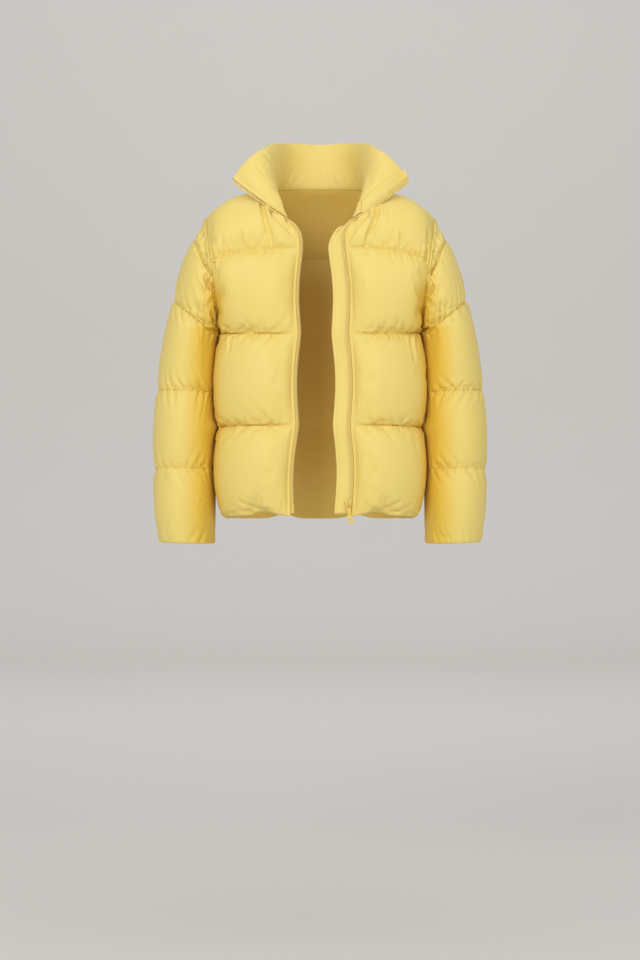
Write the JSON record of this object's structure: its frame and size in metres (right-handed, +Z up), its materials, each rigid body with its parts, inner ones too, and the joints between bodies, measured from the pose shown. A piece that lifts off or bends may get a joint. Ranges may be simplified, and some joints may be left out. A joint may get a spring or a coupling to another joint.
{
  "type": "puffer jacket",
  "caption": "Hip-length quilted puffer jacket, worn open over an empty body: wide filled baffles, raised stand collar, set-in sleeves and a full-length front zip with a hanging pull tab.",
  "frame": {"origin": "middle of the neck base, at the height where collar and shoulder seams meet", "axes": "+X to the wearer's left, -Y to the front, +Z up"},
  "size_m": [0.6766, 0.2939, 0.8304],
  "materials": {
    "shell": "smooth woven nylon, matt to satin",
    "zip_tape": "woven tape with moulded teeth",
    "zip_parts": "satin enamel in the shell's colour"
  },
  "bodies": {
    "jacket": {"back": "shell", "front_left": "shell", "front_right": "shell", "sleeve_left": "shell", "sleeve_right": "shell", "collar": "shell", "wind_flap": "shell", "wind_flap_collar": "shell", "pocket_welt_left": "shell", "pocket_welt_right": "shell", "zip_tape_left": "zip_tape", "zip_tape_right": "zip_tape", "zip_tape_collar_left": "zip_tape", "zip_tape_collar_right": "zip_tape", "zip_slider": "zip_parts", "zip_box": "zip_parts", "zip_pin": "zip_parts"},
    "pull": {"pull_tab": "zip_parts"}
  },
  "joints": [
    {"name": "pull_tab_hinge", "type": "hinge", "parent": "jacket", "child": "pull", "pos_m": [0.05661, -0.12426, -0.62278], "axis": [-0.9925, -0.0023, -0.1218], "range_deg": [0, 160]}
  ]
}
